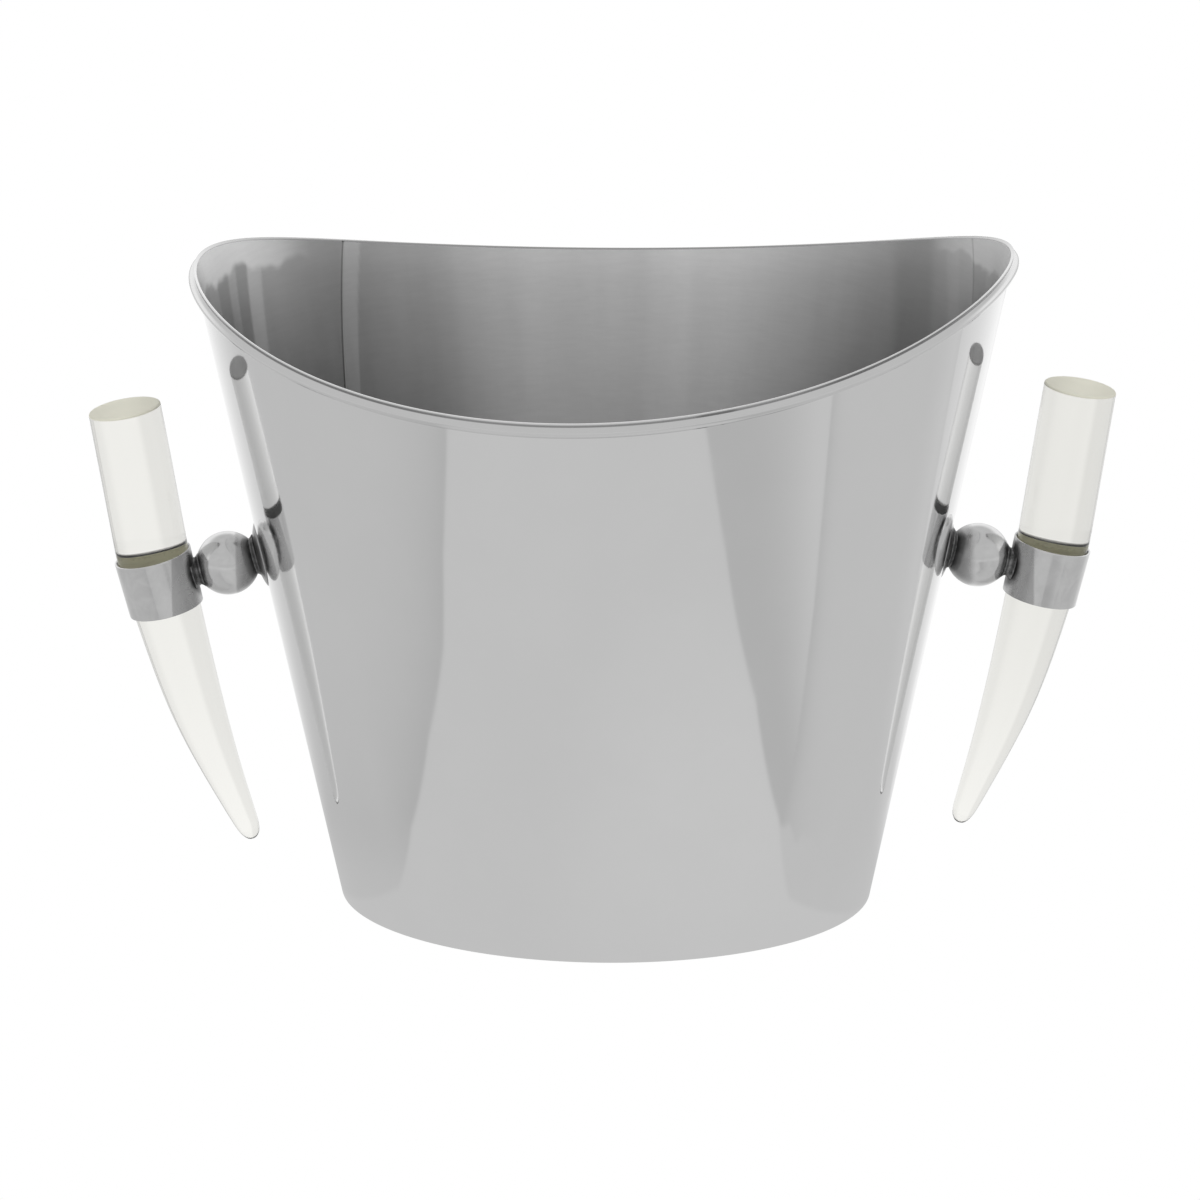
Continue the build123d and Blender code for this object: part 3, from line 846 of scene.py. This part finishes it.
def build_sleeve(side, tag):
    """Tapered sleeve round the horn, with softened lips."""
    right = side > 0
    saddle = BALL + STUB_WAY * (SLEEVE_OUT - SLEEVE_TOP_R)
    # painted shade towards the wall side and round the saddle by the ball, a little different on
    # each side
    shaded_silver = polished_part(tag + "collar_silver_painted_shade", base=0.77, rough=0.08, shade_spots=[
        dict(at=place(SLEEVE, side), span=(-7.0, -6.0) if right else (-5.6, -4.8), low=0.68,
             against=place(-heading(1, 0), side)),
        dict(at=place(saddle, side), span=(7.6, 11.5), low=0.36 if right else 0.46),
    ])
    half, lip = SLEEVE_TALL / 2, 0.22

    def outer(along):
        return blend(SLEEVE_BOTTOM_R, SLEEVE_TOP_R, (along + half) / (2 * half))

    def bore(along):
        return blend(BORE_BOTTOM_R, BORE_TOP_R, (along + half) / (2 * half))

    profile = [(bore(half - lip), half - lip)]
    profile += arc(bore(half) + lip, half - lip, lip, (150, 120, 90))
    profile += arc(outer(half) - lip, half - lip, lip, (90, 60, 30, 0))
    for share in np.linspace(0.03, 0.97, 24):
        along = half - 2 * half * share
        profile.append((outer(along), along))
    profile += arc(outer(-half) - lip, -half + lip, lip, (0, -30, -60, -90))
    profile += arc(bore(-half) + lip, -half + lip, lip, (-90, -120, -150, -180))
    for share in np.linspace(0.04, 0.95, 12):
        along = -half + 2 * half * share
        profile.append((bore(along), along))
    piece = revolve(tag + "horn_sleeve", profile, SLEEVE, SLEEVE_WAY, side, 192, shaded_silver)
    hand_over(piece, tag + "horn_collar")


# ------------------------------------------------------------------ horns
def smooth_through(stations, values, wanted):
    """Cubic curve through the stations that never overshoots between them."""
    gaps = np.diff(stations)
    steps = np.diff(values) / gaps
    slopes = np.zeros_like(values)
    slopes[0], slopes[-1] = steps[0], steps[-1]
    for i in range(1, len(stations) - 1):
        if steps[i - 1] * steps[i] > 0:
            before, after = 2 * gaps[i] + gaps[i - 1], gaps[i] + 2 * gaps[i - 1]
            slopes[i] = (before + after) / (before / steps[i - 1] + after / steps[i])
    i = np.clip(np.searchsorted(stations, wanted) - 1, 0, len(stations) - 2)
    t = (wanted - stations[i]) / gaps[i]
    return (
        (1 + 2 * t) * (1 - t) ** 2 * values[i] + t * (1 - t) ** 2 * gaps[i] * slopes[i]
        + t * t * (3 - 2 * t) * values[i + 1] + t * t * (t - 1) * gaps[i] * slopes[i + 1]
    )


def build_horn(side, tag):
    """Tapering curved horn; its seat is shifted up the sleeve on the right, down on the left."""
    ups, outs, diameters = np.array(HORN).T
    stations = np.concatenate([[0], np.cumsum(np.hypot(np.diff(outs), np.diff(ups)))])
    tip_start = stations[TIP_STATION]
    wanted = np.concatenate([
        np.linspace(0, tip_start, 190), np.linspace(tip_start, stations[-1], 40)[1:]
    ])
    out, up, radius = (
        smooth_through(stations, values, wanted) for values in (outs, ups, diameters / 2)
    )
    way_out, way_up = np.gradient(out, wanted), np.gradient(up, wanted)
    length = np.hypot(way_out, way_up)
    way_out, way_up = way_out / length, way_up / length
    segs = 144
    turns = np.linspace(0, 2 * math.pi, segs, endpoint=False)

    def ring(i, ring_r, back=0.0):
        """Ring square to the spine at sample i, moved back along it."""
        ring_out = out[i] + way_out[i] * back + ring_r * np.sin(turns) * way_up[i]
        ring_up = up[i] + way_up[i] * back - ring_r * np.sin(turns) * way_out[i]
        level = ring_r * np.cos(turns)
        return (
            ring_out[:, None] * heading(1, 0) + ring_up[:, None] * heading(0, 1)
            + level[:, None] * ACROSS
        )

    # flat top with a rounded edge, then the body
    flat_r = radius[0] - HORN_EDGE
    rings = [ring(0, flat_r * share) for share in (0.25, 0.5, 0.75, 0.9)]
    for k in range(8):
        turn = math.radians(90 * k / 7)
        back = HORN_EDGE * (1 - math.cos(turn))
        rings.append(ring(0, flat_r + HORN_EDGE * math.sin(turn), back))
    top_rings = len(rings)
    rings += [ring(i, radius[i]) for i in range(len(wanted)) if wanted[i] > HORN_EDGE + 0.05]
    top = heading(out[0], up[0])[None]
    tip = heading(out[-1] + way_out[-1] * 0.25, up[-1] + way_up[-1] * 0.25)[None]
    origin = SLEEVE + SLEEVE_WAY * (HORN_SEAT * side)
    points = place(np.concatenate([top] + rings + [tip]) + origin, side)

    last = 1 + len(rings) * segs
    faces = [(0, 1 + (i + 1) % segs, 1 + i) for i in range(segs)]
    faces += grid_faces(len(rings), segs, wrap_rows=False, start=1)
    faces += [(last - segs + i, last - segs + (i + 1) % segs, last) for i in range(segs)]
    materials = MATERIALS[tag + "resin"], MATERIALS["cut_resin"]
    piece = make_mesh(tag + "clear_horn", points, faces, *materials)
    fix_normals(piece)
    indices = np.zeros(len(piece.data.polygons), np.int32)
    indices[: segs * top_rings] = 1
    piece.data.polygons.foreach_set("material_index", indices)
    hand_over(piece, tag + "horn")


build_wall()
build_bead()
for side, tag in ((1, "right_"), (-1, "left_")):
    for build in (build_ball, build_rosette, build_brazes, build_sleeve, build_horn):
        build(side, tag)


# ------------------------------------------------------------------ CAD nodes that stay
def dress_node(node, material):
    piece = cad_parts[node]
    piece.data.materials.clear()
    piece.data.materials.append(MATERIALS[material])


for tag in ("left_", "right_"):
    for node in ("mounting_stud", "backing_washer", "dome_nut"):
        dress_node(tag + node, "steel")
    dress_node(tag + "sealing_gasket", "rubber")
    dress_node(tag + "horn_bedding", "adhesive")
dress_node("base_pan", "floor")


# ------------------------------------------------------------------ studio materials
def lit_white(net):
    """1 where a ray finds a plain white room: direct, through the horns, or as soft light."""
    path = net.node("ShaderNodeLightPath").outputs
    direct = net.math("LESS_THAN", path["Glossy Depth"], 0.5)
    other = net.math("MAXIMUM", path["Is Transmission Ray"], path["Is Diffuse Ray"])
    return net.math("MAXIMUM", path["Is Camera Ray"], net.mul(other, direct))


def bent_white(net, way_x):
    """The white room, a touch dimmer far out to either side for rays through the horns."""
    path = net.node("ShaderNodeLightPath").outputs
    left = net.fade(way_x, over=(-0.30, -0.44), to=(0.0, 0.11))
    right = net.fade(way_x, over=(0.26, 0.50), to=(0.0, 0.06))
    dim = net.mul(net.add(left, right), path["Is Transmission Ray"])
    return net.grey(net.sub(1.0, dim))


def table_material(name, grey=None):
    """Glowing table, seen in reflections with an even grey or else the mesh tone of painted light
    and shadows.
    """
    net = material_net(name)
    reflected = (grey, grey, grey, 1) if grey else net.tone_colour()
    white = lit_white(net)
    incoming = net.node("ShaderNodeNewGeometry").outputs["Incoming"]
    room = bent_white(net, net.mul(net.split(incoming)[0], by=-1.0))
    return net.surface("ShaderNodeEmission", Color=net.mix(white, reflected, room))


# ------------------------------------------------------------------ table
# Edges of the lit panel in front of the bucket, with painted shadows of the bucket beyond them on
# either side: x, y.
LIT_PANEL_LEFT = [
    (-104, -66), (-133, -94), (-163, -149), (-182, -211), (-213, -264), (-247, -351),
    (-461, -900),
]
LIT_PANEL_RIGHT = [(104, -67), (143, -99), (179, -171), (198, -280), (202, -359), (220, -900)]
# Line across the table to the right of the lit panel, where its painted tone changes: x, y.
TONE_LINE = [
    (0, -52), (100, -70), (145, -95), (211, -113), (290, -141), (400, -197), (520, -262),
    (900, -470),
]
# Greys met in reflections: the lit panel with a painted pool of light, and painted shadows of the
# bucket to its left and right.
LIT_PANEL_GREY, LIT_PANEL_LIGHT_POOL = 0.592, 0.030
LEFT_GREY, LEFT_NEAR_GREY = 0.560, 0.472
RIGHT_NEAR_GREY, RIGHT_FAR_GREY = 0.486, 0.600
TONE_LINE_GREY, TONE_LINE_DIP = 0.572, 0.085
BACK_GREY = 0.98


def edge_x(points, y):
    """x of an edge listed from the bucket outward, at each y."""
    edge = np.array(points[::-1], float)
    return np.interp(y, edge[:, 1], edge[:, 0])


def table_lines(reach):
    """Grid lines, close together within reach of the centre."""
    return np.concatenate([
        np.arange(-900, -reach, 8.0), np.arange(-reach, reach, 2.0), np.arange(reach, 901, 8.0)
    ])


def table_tone(x, y):
    front_y = -np.abs(y)  # the same painted pattern lies behind the bucket
    past_left, past_right = edge_x(LIT_PANEL_LEFT, front_y) - x, x - edge_x(LIT_PANEL_RIGHT, front_y)
    tone_line = np.interp(x, *np.array(TONE_LINE, float).T)
    radius = np.hypot(x, y)
    turn = np.arctan2(x, -front_y)
    rag = 5.0 * np.sin(turn * 17) + 4.0 * np.sin(turn * 41 + 1.3) + 2.5 * np.sin(turn * 83)
    # painted pool of light on the lit panel
    lit_panel = LIT_PANEL_GREY + LIT_PANEL_LIGHT_POOL * ease(260 - np.hypot(x - 110, y + 150), 80, 230)
    # painted shadow left of the lit panel: darkest beside it
    near = np.exp(-np.clip(past_left, 0, None) / 62) * ease(radius, 118, 178)
    left = blend(LEFT_GREY, LEFT_NEAR_GREY, near)
    # painted shadow right of the lit panel: lighter further round, a new tone past the tone line,
    # ragged at the bucket
    slope = np.clip(past_right, 0, None) / np.maximum(np.abs(front_y), 30)
    right = blend(RIGHT_NEAR_GREY, RIGHT_FAR_GREY, ease(slope, 0.15, 1.0))
    past_tone_line = np.clip(front_y - tone_line, 0, None)
    right = np.where(front_y > tone_line, TONE_LINE_GREY - TONE_LINE_DIP * np.exp(-past_tone_line / 15), right)
    right = blend(TONE_LINE_GREY, right, ease(radius + rag, 161, 167))
    tone = np.where(past_left > 0, blend(lit_panel, left, ease(past_left, 0, 6)), lit_panel)
    tone = np.where(past_right > 0, blend(lit_panel, right, ease(past_right, 0, 4)), tone)
    # the table brightens towards the backdrop
    bearing = np.degrees(np.arctan2(np.abs(x), -y))
    behind = ease(bearing, 100, 160) * (1 - 0.45 * ease(bearing, 158, 180))
    return blend(tone, BACK_GREY, behind)


def build_table():
    """Pale table; its painted pattern of a lit panel between painted shadows of the bucket only
    shows in reflections.
    """
    x, y = np.meshgrid(table_lines(432), table_lines(412))
    points = np.stack([x.ravel(), y.ravel(), np.full(x.size, -0.6)], 1)
    faces = grid_faces(*x.shape, wrap_cols=False, wrap_rows=False)
    near = make_mesh("studio_table_near", points, faces, table_material("pale_table"))
    paint_tone(near.data, table_tone(x, y).ravel())
    # the rest of the table, out to the backdrop
    corners = [(6000.0 * i, 6000.0 * j, -1.2) for i, j in ((-1, -1), (1, -1), (1, 1), (-1, 1))]
    material = table_material("pale_table_far", grey=0.66)
    make_mesh("studio_table_far", corners, [(0, 1, 2, 3)], material)


# ------------------------------------------------------------------ world and render
def build_world():
    """Even soft room, with the pale backdrop low down behind the bucket."""
    world = bpy.data.worlds.new("studio")
    bpy.context.scene.world = world
    net = Net(world, "ShaderNodeOutputWorld")
    x, y, up = net.split(net.node("ShaderNodeTexCoord").outputs["Generated"])
    front = net.mul(y, by=-1.0)
    back = net.fade(front, over=(-0.10, -0.55), to=(0.0, 1.0))
    low = net.fade(up, over=(0.35, 0.70), to=(1.0, 0.0))
    room_grey = 0.60
    sky = net.grey(net.add(room_grey, net.mul(net.mul(back, low), by=0.37)))
    shade = net.fade(up, over=(-0.2, 0.3), to=(0.92, 1.0))
    white = lit_white(net)
    reflected = net.mix(1.0, sky, net.grey(shade), blend_type="MULTIPLY")
    colour = net.mix(white, reflected, bent_white(net, x))
    net.surface("ShaderNodeBackground", Color=colour, Strength=1.0)


build_table()
build_world()

scene = bpy.context.scene
scene.view_settings.view_transform = "Standard"
scene.view_settings.look = "None"
scene.cycles.max_bounces = 16
scene.cycles.glossy_bounces = 10
scene.cycles.transmission_bounces = 14

# ------------------------------------------------------------------ camera
ELEVATION, SWING, ROLL = 0.3107, -0.10159, -0.00746  # radians
DISTANCE = 2356.3
AIM_X, AIM_Z = -1.374, 122.36


def swung(x, y, z):
    """Turned about the z axis by the camera's swing."""
    cos, sin = math.cos(SWING), math.sin(SWING)
    return Vector((x * cos + y * sin, -x * sin + y * cos, z))


def build_camera():
    level, rise = math.cos(ELEVATION), math.sin(ELEVATION)
    position = swung(AIM_X, -DISTANCE * level, AIM_Z + DISTANCE * rise)
    forward, up, right = swung(0, level, -rise), swung(0, rise, level), swung(1, 0, 0)
    camera_x = right * math.cos(ROLL) + up * math.sin(ROLL)
    camera_y = -right * math.sin(ROLL) + up * math.cos(ROLL)
    rotation = Matrix((camera_x, camera_y, -forward)).transposed().to_4x4()
    camera = bpy.data.objects.new("camera", bpy.data.cameras.new("camera"))
    camera.data.lens = 176.58
    camera.data.sensor_width = 36
    camera.data.clip_end = 50
    camera.matrix_world = Matrix.Translation(position * MM) @ rotation
    scene.collection.objects.link(camera)
    scene.camera = camera


build_camera()
